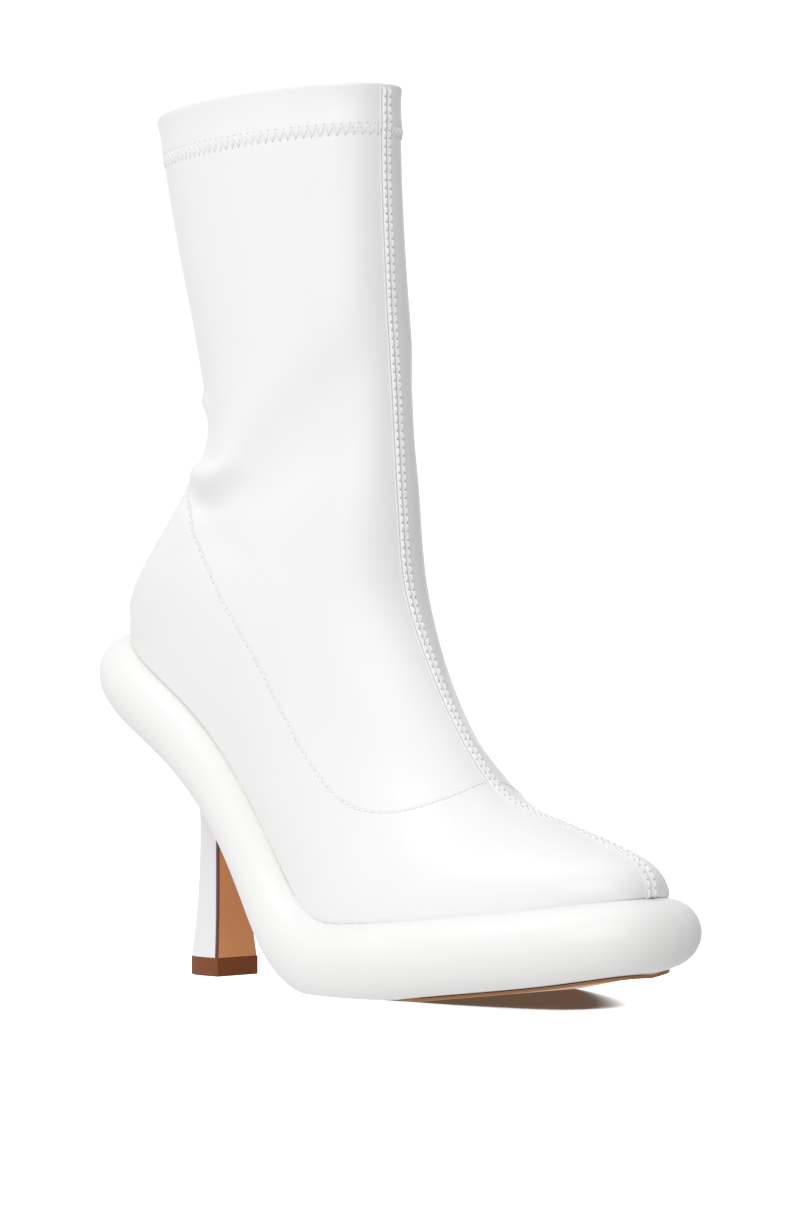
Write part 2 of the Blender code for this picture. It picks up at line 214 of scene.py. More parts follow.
def makePiece(name, points, faces, finish, slotName="white_leather", smooth=True, weld=0.002, wall=0.0):
    # points in millimetres, faces wound to point out; coincident points are merged before a wall is added
    mesh = bpy.data.meshes.new(name)
    mesh.from_pydata(((points.reshape(-1, 3) + shift) * mm).tolist(), [], [list(face) for face in faces])
    work = bmesh.new()
    work.from_mesh(mesh)
    bmesh.ops.remove_doubles(work, verts=work.verts, dist=weld * mm)
    bmesh.ops.dissolve_degenerate(work, edges=work.edges, dist=weld * mm / 10)
    work.to_mesh(mesh)
    work.free()
    if smooth:
        mesh.shade_smooth()
    for material in finish if isinstance(finish, list) else [finish]:
        mesh.materials.append(material)
    piece = bpy.data.objects.new(name, mesh)
    bpy.context.collection.objects.link(piece)
    if wall:
        shell = piece.modifiers.new("wall", "SOLIDIFY")
        shell.thickness = wall * mm
        shell.offset = -1
    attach(piece, "root")
    return piece


def gridFaces(grid, wrap=False):
    # quads between the points of a grid, which run along its columns first
    index = np.arange(grid[..., 0].size).reshape(grid.shape[:2])
    if wrap:
        index = np.hstack([index, index[:, :1]])
    quads = np.stack([index[:-1, :-1], index[:-1, 1:], index[1:, 1:], index[1:, :-1]], axis=-1)
    return quads.reshape(-1, 4)


def closedStack(grid, flip=False):
    # sides of a stack of rings, with a lid on its first and its last ring
    rows, columns = grid.shape[:2]
    faces = gridFaces(grid, wrap=True).tolist()
    faces += [list(range(columns))[::-1], list(range((rows - 1) * columns, rows * columns))]
    return [face[::-1] for face in faces] if flip else faces


def joinMeshes(parts):
    # several meshes as one: the faces of each count on from the points of those before it
    points = []
    faces = []
    for vertices, polygons in parts:
        start = sum(len(block) for block in points)
        points.append(vertices.reshape(-1, 3))
        faces += [[start + i for i in polygon] for polygon in polygons]
    return np.concatenate(points), faces


# Finishes: hex colours are sRGB, and pattern sizes are in millimetres
def linearColour(hexCode):
    # the sRGB curve undone: a straight line near black, then a power of 2.4
    values = np.array([int(hexCode[i:i + 2], 16) / 255 for i in (1, 3, 5)])
    linear = np.where(values <= 0.04045, values / 12.92, ((values + 0.055) / 1.055) ** 2.4)
    return (*linear.tolist(), 1.0)


def addNode(tree, kind, settings, links=(), feeds=()):
    # one node with its settings by name, its links as (input, source socket) and (output, fed socket)
    node = tree.nodes.new("ShaderNode" + kind)
    for key, value in settings.items():
        if isinstance(key, int) or key in node.inputs:
            node.inputs[key].default_value = value
        else:
            setattr(node, key, value)
    for name, source in links:
        tree.links.new(source, node.inputs[name])
    for name, target in feeds:
        tree.links.new(node.outputs[name], target)
    return node


def newShader(name, settings):
    # a material whose shader has its settings by name
    material = bpy.data.materials.new(name)
    material.use_nodes = True
    shader = material.node_tree.nodes["Principled BSDF"].inputs
    for key, value in settings.items():
        shader[key].default_value = value
    return material, material.node_tree, shader


def newFinish(name, light, dark, settings):
    # colour that goes from dark to light by a pattern, which lies on Object coordinates
    material, tree, shader = newShader(name, settings)
    place = addNode(tree, "TexCoord", {})
    colours = {"data_type": "RGBA", 6: linearColour(dark), 7: linearColour(light)}
    tone = addNode(tree, "Mix", colours, [], [(2, shader["Base Color"])])
    return material, tree, shader, tone.inputs[0], [("Vector", place.outputs["Object"])]


def coatedLeather(name, light, dark, roughness, grain, bump, cloud=34.0, swing=0.05, depth=0.08):
    # split leather with a smooth coloured film, ironed: a soft sheen over a fine pebbled grain. The real
    # pebbles, about 0.3 mm, are drawn at about 1 mm so that they show
    settings = {"IOR": 1.48, "Coat Weight": 0.3, "Coat Roughness": 0.2}
    material, tree, shader, tone, onPiece = newFinish(name, light, dark, settings)
    clouds = addNode(tree, "TexNoise", {"Scale": 1000 / cloud, "Detail": 3.0, "Roughness": 0.55}, onPiece,
                     [("Fac", tone)])
    addNode(tree, "MapRange", {"To Min": roughness - swing, "To Max": roughness + swing},
            [("Value", clouds.outputs["Fac"])], [("Result", shader["Roughness"])])
    pebbles = addNode(tree, "TexVoronoi", {"Scale": 1000 / grain, "feature": "SMOOTH_F1"}, onPiece)
    addNode(tree, "Bump", {"Strength": bump, "Distance": depth * mm},
            [("Height", pebbles.outputs["Distance"])], [("Normal", shader["Normal"])])
    return material


def tannedLeather(name, light, dark, roughness, fibre=2.4, patch=16.0, swing=0.08, bump=0.25, depth=0.1):
    # vegetable-tanned sole leather, rolled and waxed: warm, with short fibres and a dull polish. The board's
    # edge and the lift's rubber take the same speckle
    material, tree, shader, tone, onPiece = newFinish(name, light, dark, {"IOR": 1.5})
    fibres = addNode(tree, "TexNoise", {"Scale": 1000 / fibre, "Detail": 6.0, "Roughness": 0.65}, onPiece)
    patches = addNode(tree, "TexNoise", {"Scale": 1000 / patch, "Detail": 2.0}, onPiece)
    addNode(tree, "Mix", {"data_type": "FLOAT", 0: 0.35},
            [(2, patches.outputs["Fac"]), (3, fibres.outputs["Fac"])], [(0, tone)])
    addNode(tree, "MapRange", {"To Min": roughness - swing, "To Max": roughness + swing},
            [("Value", fibres.outputs["Fac"])], [("Result", shader["Roughness"])])
    addNode(tree, "Bump", {"Strength": bump, "Distance": depth * mm},
            [("Height", fibres.outputs["Fac"])], [("Normal", shader["Normal"])])
    return material


def brushedLining(name, light, dark, wale=2.1713, bump=0.3, depth=0.15):
    # knitted lining brushed to a short nap: matt, with fine wales. The real ones, about 1.1 mm apart, are
    # drawn about twice as wide so that they show; the wave's bands are pi/10 wide at a scale of 1
    settings = {"Roughness": 0.85, "IOR": 1.45, "Sheen Weight": 0.25}
    material, tree, shader, tone, onPiece = newFinish(name, light, dark, settings)
    wave = {"Scale": np.pi / 10 / (wale * mm), "Distortion": 1.2, "Detail": 2.0}
    wales = addNode(tree, "TexWave", wave, onPiece, [("Fac", tone)])
    addNode(tree, "Bump", {"Strength": bump, "Distance": depth * mm},
            [("Height", wales.outputs["Fac"])], [("Normal", shader["Normal"])])
    return material


def spunThread(name, light, dark, twist=1.974):
    # bonded polyester sewing thread: bright, with a tight twist. The real twist, about 0.5 mm long, is drawn
    # at about 2 mm so that it shows; the wave's slanted bands are pi/5 long at a scale of 1
    settings = {"Roughness": 0.45, "IOR": 1.53, "Sheen Weight": 0.2}
    material, tree, shader, tone, onPiece = newFinish(name, light, dark, settings)
    wave = {"Scale": np.pi / 5 / (twist * mm), "bands_direction": "DIAGONAL"}
    addNode(tree, "TexWave", wave, onPiece, [("Fac", tone)])
    return material


def needleShadow(name, light, dark, fleck=0.8):
    # painted shade: the dark inside a needle hole, dull, with a faint speckle
    material, tree, shader, tone, onPiece = newFinish(name, light, dark, {"Roughness": 0.9})
    addNode(tree, "TexNoise", {"Scale": 1000 / fleck}, onPiece, [("Fac", tone)])
    return material


finishes = dict(
    upper=coatedLeather("whiteCoatedLeather", "#f3f3f3", "#eeeeef", roughness=0.40, grain=0.9, bump=0.10),
    padding=coatedLeather("paddedWhiteLeather", "#f3f3f2", "#eeeeed", roughness=0.42, grain=1.0, bump=0.08),
    heelCover=coatedLeather("heelCoverLeather", "#f1f0f2", "#ecebee", roughness=0.36, grain=1.0, bump=0.05),
    lining=brushedLining("brushedLining", "#ece6da", "#dfd7c8"),
    sock=tannedLeather("sockLeather", "#e6dccb", "#d6c9b3", roughness=0.6),
    tan=tannedLeather("tanSoleLeather", "#e3a772", "#d08f5a", roughness=0.45),
    edgeDye=tannedLeather("dyedSoleEdge", "#6b3a22", "#4f2815", roughness=0.45),
    soleEdge=tannedLeather("burnishedSoleEdge", "#b07a4e", "#946038", roughness=0.45),
    lift=tannedLeather("brownLiftRubber", "#86460c", "#6e3506", roughness=0.6),
    bead=tannedLeather("beigeBoardEdge", "#ece9e0", "#e0dbcf", roughness=0.6),
    # painted shade: a darker grey for the faces in the welt's grooves
    grooveShade=tannedLeather("grooveShadeGrey", "#c2bfba", "#aeaaa4", roughness=0.7),
    thread=spunThread("whiteThread", "#fafaf9", "#ecebe8"),
    # painted shade: the dark inside the needle holes
    holeShade=needleShadow("needleHoleShade", "#a39c90", "#857e73"),
)
print("finishes made:", len(finishes))

# Upper: the stitched seam between shaft and foot, the hem and the creases, all in the boot's own places
panelSeam = dict(
    route=[(6.22, 0.0), (6.24, 0.09), (6.30, 0.20), (6.45, 0.29), (6.73, 0.38), (7.08, 0.44), (7.50, 0.475),
           (8.0, 0.50), (8.7, 0.524), (9.6, 0.542), (10.6, 0.552), (12.0, 0.545), (13.6, 0.533), (15.2, 0.54),
           (16.6, 0.59), (17.6, 0.68), (18.25, 0.80), (18.5, 0.92), (18.55, 1.0)],  # section and turn
    rollDepth=0.12,     # both panels turn down into the seam
    rollRun=0.4,
    footProud=0.12,     # the foot panel lies a little higher beside it
    footFade=7.0,
)
hem = dict(section=22.46, slant=0.08, step=0.45, stepRun=0.05, pinch=0.15, pinchHalf=0.07, hollow=0.35,
           hollowFrom=22.5, hollowRun=0.5, rim=1.0, bow=0.035, facing=13.0, sectionTall=26.0)
# each fold is a soft trough (-) or ridge (+): its route on the outer side, its height, its half width, and
# how much of it the outer and the inner side show
creases = dict(
    tendonHollow=([(-70, -14, 178), (-62, -23, 174), (-54, -27.5, 170)], -1.0, 8.0, 1, 0.8),
    overFold=([(-66, -22, 167), (-58, -26.5, 166), (-51, -28.5, 163)], -1.6, 3.0, 1, 0.8),
    ankleFold=([(-68, -24, 162), (-58, -29, 160), (-45, -27.5, 164)], 3.0, 4.8, 1, 0.6),
    underFold=([(-64, -28.5, 154), (-57.5, -29.9, 150.5), (-42, -26.7, 157)], -2.9, 4.4, 1, 0.6),
    sideHollow=([(-57, -29.9, 143), (-48, -29.9, 138), (-36, -29.6, 132)], -1.2, 5.5, 1, 1),
    calfSwell=([(-84, -9, 208), (-75.5, -11, 186), (-68, -17, 168)], 1.0, 8.0, 1, 0.6),
    backFold=([(-80, -3, 185), (-75, -12, 184), (-67, -20, 181)], 1.3, 2.8, 1, 0.6),
    innerShin=([(-12, -21, 206), (-11, -21, 176), (-8, -21, 143)], 2.4, 12.0, 0, 1),
    innerInstep=([(31, -12, 74), (22, -12, 88), (13, -13, 104)], -1.9, 9.0, 0, 1),
    innerBend=([(3, -18.5, 123), (8, -17, 115), (13, -14.5, 105)], 1.2, 6.0, 0, 1),
)
creaseBells = 31
seamRows = np.array(panelSeam["route"])
seamRun = runAlong(upperPoint(seamRows[:, 0], -seamRows[:, 1]))
seamCurve = curveThrough(seamRun / seamRun[-1], seamRows)
soleLine = np.concatenate([upperPoint(np.linspace(0, heelBack, 400), side) for side in (-1.0, 1.0)])


def seamAt(share):
    # section and turn along the panel seam, from the front ridge (0) to the back of the leg (1)
    section, turn = np.moveaxis(seamCurve(share), -1, 0)
    return section, np.clip(turn, 0, 1)


def creaseHeight(points):
    # each crease is a row of bells along its route, added up, fading out towards both of its ends
    total = np.zeros(points.shape[:-1])
    way = np.linspace(0, 1, creaseBells)
    fade = np.sin(np.linspace(0.04, 0.96, creaseBells) * np.pi) ** 0.7
    for route, height, half, *shown in creases.values():
        line = curveThrough([0, 0.5, 1], route)(way)
        share = runAlong(line)[-1] / (creaseBells - 1) / (half * np.sqrt(np.pi))
        for mirror, part in zip((1, -1), shown):
            gap = np.linalg.norm(points[..., None, :] - line * (1, mirror, 1), axis=-1)
            total += height * part * share * (np.exp(-(gap / half) ** 2) * fade).sum(axis=-1)
    return total


def hemRise(turn):
    # the hem is deeper in front than behind: its line slants by a cosine of the turn
    return -hem["slant"] * np.cos(np.pi * turn)


def skinHeight(section, turn, points):
    # hem, pinched where it is sewn, and creases, measured out from the smooth form
    fromHem = section - hem["section"] - hemRise(turn)
    folded = hem["step"] * ease(fromHem, -hem["stepRun"], hem["stepRun"])
    pinch = hem["pinch"] * np.exp(-(fromHem / hem["pinchHalf"]) ** 2)
    hollowWay = np.clip((section - hem["hollowFrom"]) / hem["hollowRun"], 0, 1)
    hollow = hem["hollow"] * np.sin(np.pi * hollowWay)
    return folded - pinch - hollow + creaseHeight(points)


besideSeam = (0.0, 0.18, 0.42, 0.75, 1.15, 1.7, 2.5, 3.8, 5.6)  # the first rows' distances from the seam
seamSections, seamTurns = seamAt(np.linspace(0, 1, 900))
seamLine = np.concatenate([upperPoint(seamSections, side * seamTurns) for side in (-1, 1)])


def columnsFromSeam(share, endSection, endTurn, rest):
    # sections and turns on lines from the seam to an end line: some rows close to the seam, then even ones
    seamSection, seamTurn = seamAt(np.abs(share))

    def along(way):
        # the same share of the way on every line, on its own side
        turns = seamTurn + (endTurn - seamTurn) * way
        return seamSection + (endSection - seamSection) * way, np.where(share < 0, -turns, turns)

    way = np.linspace(0, 1, 120)
    run = runAlong(upperPoint(*along(way[:, None])))
    rows = []
    for total, column in zip(run[-1], run.T):
        close = np.array(besideSeam) * min(1, total / (2 * besideSeam[-1]))
        wanted = np.concatenate([close, np.linspace(close[-1], total, rest + 1)[1:]])
        rows.append(np.interp(wanted, column, way))
    return along(np.array(rows).T)


def dressed(sections, turns, extra=None):
    # the smooth form moved out by its hem and creases, less a bell of the distance from the seam
    base = upperPoint(sections, turns)
    normal = upperNormal(sections, turns)
    gap = distanceTo(base, seamLine)
    height = skinHeight(sections, turns, base)
    height = height - panelSeam["rollDepth"] * np.exp(-(gap / panelSeam["rollRun"]) ** 2)
    if extra:
        height = height + extra(gap, base)
    return base + normal * height[..., None], normal


shaftGrid = dict(ridgeShare=0.8, ridgeColumns=82, hemColumns=64, rows=52, belowHem=0.24, hemRows=30, wall=0.8)


def shaftPanel():
    # lines from the seam to the front ridge and the hem, then the hem's rows, over the rim and down inside
    ridgeShare = shaftGrid["ridgeShare"]
    ridgeHalf = np.linspace(0, ridgeShare, shaftGrid["ridgeColumns"])[:-1]
    half = np.concatenate([ridgeHalf, np.linspace(ridgeShare, 1, shaftGrid["hemColumns"])])
    share = np.concatenate([-half[:0:-1], half[:-1]])
    lowHem = hem["section"] - shaftGrid["belowHem"]
    onHem = np.clip((np.abs(share) - ridgeShare) / (1 - ridgeShare), 0, 1)
    onRidge = np.clip(np.abs(share) / ridgeShare, 0, 1)
    ridgeStart = panelSeam["route"][0][0]
    endSection = ridgeStart + (lowHem - ridgeStart) * onRidge
    skin, _ = dressed(*columnsFromSeam(share, endSection, onHem, shaftGrid["rows"]))

    hemTurns = (np.sign(share) * onHem)[np.abs(share) >= ridgeShare - 1e-9]
    hemTurns = np.delete(hemTurns, np.flatnonzero(hemTurns == 0)[0])  # the ridge's column comes twice
    topSection = collarSection - hem["rim"] / hem["sectionTall"]
    rimSections = topSection + hem["bow"] * np.sin(np.pi * np.abs(hemTurns))  # the rim bows up at both sides
    hemSections = np.linspace(np.full_like(rimSections, lowHem), rimSections, shaftGrid["hemRows"])
    band, normal = dressed(*np.broadcast_arrays(hemSections, hemTurns))
    out = normal[-1]
    up = unit(band[-1] - band[-2])
    bend = np.linspace(0, np.pi, 9)[1:, None, None]
    over = band[-1] - out * hem["rim"] + hem["rim"] * (out * np.cos(bend) + up * np.sin(bend))
    inside = over[-1] - up * np.linspace(0, hem["facing"], 8)[1:, None, None]
    return skin, np.concatenate([band, over, inside])


footGrid = dict(toeShare=0.3, toeSection=5.4, columns=320, rows=46, toeRows=70, toeCrowd=1.25, edgeIn=0.25,
                edgeRun=0.8, wall=0.9)


def footPanel():
    # a patch from the seam to the sole's edge and to a section across the toe, then the toe itself
    toeShare = footGrid["toeShare"]
    toeSection = footGrid["toeSection"]
    share = np.linspace(-1, 1, footGrid["columns"], endpoint=False)
    along = np.clip((np.abs(share) - toeShare) / (1 - toeShare), 0, 1)
    endSection = toeSection + (heelBack - toeSection) * along
    endTurn = np.clip(np.abs(share) / toeShare, 0, 1)
    toeTurns = share[np.abs(share) <= toeShare + 1e-6] / toeShare
    toeSections = toeSection * np.linspace(1, 0, footGrid["toeRows"])[:, None] ** footGrid["toeCrowd"]

    def beside(gap, base):
        # proud of the shaft beside the seam, and drawn in at the sole's edge
        proud = panelSeam["footProud"] * np.exp(-(gap / panelSeam["footFade"]) ** 2)
        return proud - footGrid["edgeIn"] * np.exp(-(distanceTo(base, soleLine) / footGrid["edgeRun"]) ** 2)

    patch, _ = dressed(*columnsFromSeam(share, endSection, endTurn, footGrid["rows"]), beside)
    toe, _ = dressed(*np.broadcast_arrays(toeSections, toeTurns), beside)
    return patch, toe


shaftParts = [(grid, gridFaces(grid, wrap=True)) for grid in shaftPanel()]
shaft = makePiece("shaft_panel", *joinMeshes(shaftParts), finishes["upper"], wall=shaftGrid["wall"])
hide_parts("upper")
patch, toe = footPanel()
footParts = [(patch, gridFaces(patch, wrap=True)[:, ::-1]), (toe, gridFaces(toe)[:, ::-1])]
foot = makePiece("foot_panel", *joinMeshes(footParts), finishes["upper"], wall=footGrid["wall"])
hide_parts("upper")
print("upper panels made")

# Raised front seam: a narrow welt over the ridge with a groove where the two halves meet
frontSeam = dict(half=2.5, height=0.7, footHeight=0.55, stepOver=(6.1, 6.4), sunk=0.05, groove=0.75,
                 grooveHalf=0.24, edgeAt=1.85, edgeGroove=0.6, edgeHalf=0.2, middleShade=0.2, edgeShade=0.12,
                 toeEnd=0.2, topEnd=collarSection - 0.05, rows=440, wall=0.5)
# places across one half of the welt, closer together at the grooves
weltSide = np.array([0.0, 0.08, 0.16, 0.26, 0.38, 0.5, 0.75, 1.05, 1.35, 1.5, 1.6, 1.7, 1.78, 1.85, 1.92, 2.0,
                     2.1, 2.2, 2.35, frontSeam["half"]])
weltAcross = np.concatenate([-weltSide[:0:-1], weltSide])


def weltHeight(section, distance):
    # flat-topped across, cut by a middle groove and one beside each row, and lower on the foot
    step = ease(section, *frontSeam["stepOver"])
    tall = frontSeam["footHeight"] + (frontSeam["height"] - frontSeam["footHeight"]) * step
    across = 1 - (np.abs(distance) / frontSeam["half"]) ** 4
    groove = frontSeam["groove"] * np.exp(-(distance / frontSeam["grooveHalf"]) ** 2)
    fromEdge = np.abs(distance) - frontSeam["edgeAt"]
    edge = frontSeam["edgeGroove"] * np.exp(-(fromEdge / frontSeam["edgeHalf"]) ** 2)
    return tall * across - groove - edge - frontSeam["sunk"]


def frontPoint(section, distance):
    # a place on the welt's top: the dressed upper, moved out by the welt's height
    turn = turnBeside(section, distance)
    base = upperPoint(section, turn)
    normal = upperNormal(section, turn)
    height = skinHeight(section, turn, base) + weltHeight(section, distance)
    return base + normal * height[..., None], normal


weltSections = np.linspace(frontSeam["toeEnd"], frontSeam["topEnd"], frontSeam["rows"])[:, None]
welt, _ = frontPoint(*np.broadcast_arrays(weltSections, weltAcross))
weltPiece = makePiece("front_seam_welt", welt, gridFaces(welt), [finishes["upper"], finishes["grooveShade"]],
                      wall=frontSeam["wall"])
# painted shade: the faces in the three grooves take a darker grey, the shade that falls there
middle = np.abs(weltAcross[1:] + weltAcross[:-1]) / 2
inGroove = (middle < frontSeam["middleShade"]) | (np.abs(middle - frontSeam["edgeAt"]) < frontSeam["edgeShade"])
weltPiece.data.polygons.foreach_set("material_index", np.tile(inGroove, len(welt) - 1).astype(np.int32))
print("front welt made")

# Stitches: short threads that rise out of one needle hole and dip into the next, and dark dishes painted as
# the holes' shade
stitchForm = dict(sides=6, way=(0.0, 0.12, 0.35, 0.65, 0.88, 1.0), taper=(0.45, 0.85, 1.0, 1.0, 0.85, 0.45))
# each needle hole's shade is painted as a dark dish a little proud of the leather
holeShadeForm = dict(sides=8, proud=0.05, deep=0.25)


def stitchMesh(start, end, normal, radius, arch):
    # a tapered round tube along a low arch, for all stitches at once; the ends sink by half a radius
    ring = np.linspace(0, 2 * np.pi, stitchForm["sides"], endpoint=False)[:, None]
    way = np.array(stitchForm["way"])
    taper = np.array(stitchForm["taper"]) * radius
    lift = arch * np.sin(way * np.pi) ** 0.6 - 0.5 * radius * (taper < 0.5 * radius)
    spine = start[:, None] + (end - start)[:, None] * way[:, None] + normal[:, None] * lift[:, None]
    along = unit(end - start)
    across = unit(np.cross(along, normal))
    rise = np.cross(across, along)
    spokes = rise[:, None, None] * np.cos(ring) + across[:, None, None] * np.sin(ring)
    points = spine[:, :, None] + taper[:, None, None] * spokes
    count, rows, sides = points.shape[:3]
    quads = gridFaces(points[0], wrap=True) + (np.arange(count) * rows * sides)[:, None, None]
    first = np.arange(count)[:, None] * rows * sides + np.arange(sides)
    ends = first[:, ::-1].tolist() + (first + (rows - 1) * sides).tolist()
    return points.reshape(-1, 3), quads.reshape(-1, 4).tolist() + ends


def holeShadeMesh(centre, normal, radius):
    # painted shade: a shallow dark dish at each needle hole, a round lid over a cone, stands in for the
    # hole's shade
    sides = holeShadeForm["sides"]
    ring = np.linspace(0, 2 * np.pi, sides, endpoint=False)[:, None]
    first = unit(np.cross(normal, np.array([0.31, 0.77, 0.55])))  # across any slanted line
    second = np.cross(normal, first)
    spokes = first[:, None] * np.cos(ring) + second[:, None] * np.sin(ring)
    rim = centre[:, None] + radius * spokes + holeShadeForm["proud"] * normal[:, None]
    low = centre - holeShadeForm["deep"] * normal
    points = np.concatenate([rim, low[:, None]], axis=1)
    base = np.arange(len(centre)) * (sides + 1)
    fans = [np.stack([base + i, base + (i + 1) % sides, base + sides], axis=-1) for i in range(sides)]
    lids = (base[:, None] + np.arange(sides)).tolist()
    return points.reshape(-1, 3), lids + np.concatenate(fans)[:, ::-1].tolist()


def sampleAlong(where, run, values):
    # values at lengths along a line, each coordinate interpolated on its own
    return np.stack([np.interp(where, run, values[:, k]) for k in range(3)], axis=-1)


def sewRow(line, normal, row):
    # even stitches along a line, each covering part of its pitch, and dark dishes painted as the shade of the
    # needle holes between them
    run = runAlong(line)
    count = int(run[-1] / row["pitch"])
    begin = np.arange(count) * run[-1] / count
    cover = row["cover"] * row["pitch"]
    start = sampleAlong(begin, run, line)
    end = sampleAlong(begin + cover, run, line)
    out = unit(sampleAlong(begin + cover / 2, run, normal))
    between = (start + np.roll(end, 1, axis=0))[1:] / 2
    return stitchMesh(start, end, out, row["thread"], row["arch"]), holeShadeMesh(between, out[1:], row["holeShade"])


frontRows = dict(toeEnd=0.28, topEnd=collarSection - 0.06, apart=1.05, toeSpread=0.35, spreadOver=(1.0, 4.0),
                 pitch=2.6, cover=0.9, thread=0.40, arch=0.20, holeShade=0.2)
sections = np.linspace(frontRows["toeEnd"], frontRows["topEnd"], 3000)
apart = frontRows["apart"] + frontRows["toeSpread"] * (1 - ease(sections, *frontRows["spreadOver"]))
sewn = [sewRow(*frontPoint(sections, side * apart), frontRows) for side in (-1, 1)]
makePiece("front_stitches", *joinMeshes([row[0] for row in sewn]), finishes["thread"])
holeShadeParts = [row[1] for row in sewn]

seamStitches = dict(start=0.012, beside=0.5, sunk=0.02, pitch=2.5, cover=0.78, thread=0.19, arch=0.1,
                    holeShade=0.15)
section, turn = seamAt(np.linspace(seamStitches["start"], 1, 1500))
sewn = []
for side in (-1, 1):
    line = upperPoint(section, side * turn)
    normal = upperNormal(section, side * turn)
    along = unit(np.gradient(line, axis=0))
    line = line + np.cross(along, normal) * side * seamStitches["beside"]
    height = panelSeam["footProud"] + skinHeight(section, turn, line) - seamStitches["sunk"]
    sewn.append(sewRow(line + normal * height[:, None], normal, seamStitches))
makePiece("panel_seam_stitches", *joinMeshes([row[0] for row in sewn]), finishes["thread"])
holeShadeParts += [row[1] for row in sewn]


def hemLine(section, count):
    # places spaced evenly round the hem at one section, over the front welt
    turn = np.linspace(-1, 1, 4001)
    sections = section + hemRise(turn)
    base = upperPoint(sections, turn)
    normal = upperNormal(sections, turn)
    aside = np.sign(turn) * np.abs(base[:, 1])
    onWelt = (np.abs(aside) < frontSeam["half"]) & (base[:, 0] > -30)  # in front, not behind
    over = np.where(onWelt, np.maximum(weltHeight(sections, aside), 0), 0)
    line = base + normal * (skinHeight(sections, turn, base) + over)[:, None]
    run = runAlong(line)
    where = np.arange(count) / count * run[-1]
    return sampleAlong(where, run, line), unit(sampleAlong(where, run, normal))


collarZigzag = dict(low=22.40, high=22.545, pitch=2.65, inset=0.06, thread=0.25, arch=0.06, holeShade=0.16)
hemRun = runAlong(upperPoint(hem["section"], np.linspace(-1, 1, 400)))[-1]
corners = 2 * int(hemRun / collarZigzag["pitch"])
low, lowNormal = hemLine(collarZigzag["low"], corners)
high, highNormal = hemLine(collarZigzag["high"], corners)
isLow = (np.arange(corners) % 2 == 0)[:, None]
corner = np.where(isLow, low, high)
cornerNormal = np.where(isLow, lowNormal, highNormal)
following = np.roll(corner, -1, axis=0)
inset = (following - corner) * collarZigzag["inset"]
zigzag = stitchMesh(corner + inset, following - inset, unit(cornerNormal + np.roll(cornerNormal, -1, axis=0)),
                    collarZigzag["thread"], collarZigzag["arch"])
makePiece("collar_zigzag", *zigzag, finishes["thread"])
holeShadeParts.append(holeShadeMesh(corner, cornerNormal, collarZigzag["holeShade"]))
# dark dishes painted as the shade in every needle hole
makePiece("needle_hole_shade", *joinMeshes(holeShadeParts), finishes["holeShade"], smooth=False)
print("stitches made")

# Platform: a padded slab whose edge is a round tube, with the tan outsole under it and the sock lining on it
soleForm = dict(
    columns=("out", "thick", "outsoleInset", "rise", "square", "roll"),
    rows=dict(
        toeTip=(8.3, 22.7, 2.6, 0.6, 0, 0.04),
        toeSide=(8.8, 21.9, 2.4, 0.6, 0.1, 0.045),
        ballFront=(9.0, 23.3, 3.0, 0.6, 0.3, 0),
        joint=(8.6, 22.8, 5.0, 0.6, 0.4, 0),
        waist=(8.2, 18.4, 7.0, 0.6, 0.2, 0),
        arch=(7.6, 17.6, 9.0, 0.6, 0, 0),
        breast=(7.0, 20.6, 13.0, 0.8, 0, 0),
        corner=(7.0, 22.0, 13.0, 1.4, 0, 0),
        heelBack=(7.2, 22.6, 13.0, 1.9, 0, 0),
    ),
    gap=0.3,            # between the layers
    floorGap=0.15,
    shelf=(0.5, 0.25),  # the underside steps up over the outsole, this far inside its edge
)
outsoleForm = dict(thick=0.95, end=10.64,
                   edge=((0.95, 0.2), (0.85, 0.05), (0.4, 0.0), (0.05, 0.0), (0.0, 0.12)))  # depth and inset
sockForm = dict(inset=2.5,
                edge=((0.6, 0.05), (0.1, 0.35), (0.0, 0.9), (0.15, 1.35), (0.6, 1.6)))  # inset and height
soleKnots = [sectionNames.index(name) for name in soleForm["rows"]]
soleCurve = curveThrough(soleKnots, list(soleForm["rows"].values()))


def solePitch(sections):
    # how steeply the sole falls to the toe, from the chord between each row's neighbours
    rows = np.arange(heelBack + 1)
    ahead = np.clip(rows - 1, 0, heelBack - 3)
    behind = np.clip(rows + 1, 2, heelBack - 1)
    bottom = np.array(list(upperForm["rows"].values()))[:, :3]
    run = bottom[ahead] - bottom[behind]
    pitch = np.arctan2(-run[:, 2], run[:, 0])
    return curveThrough(rows, pitch[:, None])(sections)[..., 0]


# stations are spaced evenly along the outer edge of the sole
fine = np.linspace(0, heelBack, 3000)
fineRun = runAlong(upperPoint(fine, -1.0))
stations = np.interp(np.linspace(0, fineRun[-1], 190), fineRun, fine)
soleEdges = np.stack([upperPoint(stations, side) for side in (-1.0, 1.0)])
slope = solePitch(stations)
upward = np.stack([np.sin(slope), np.zeros_like(slope), np.cos(slope)], axis=-1)
loop = np.concatenate([soleEdges[0], soleEdges[1, -2:0:-1]])
loopUp = np.concatenate([upward, upward[-2:0:-1]])
loopOut = unit(np.cross(loopUp, np.roll(loop, -1, axis=0) - np.roll(loop, 1, axis=0)))
for _ in range(12):
    loopOut = unit(np.roll(loopOut, 1, axis=0) + 2 * loopOut + np.roll(loopOut, -1, axis=0))
outInner = np.concatenate([loopOut[:1], loopOut[:len(stations) - 2:-1]])
soleOuts = np.stack([loopOut[:len(stations)], outInner])
soleSize = dict(zip(soleForm["columns"], np.moveaxis(soleCurve(stations), -1, 0)))


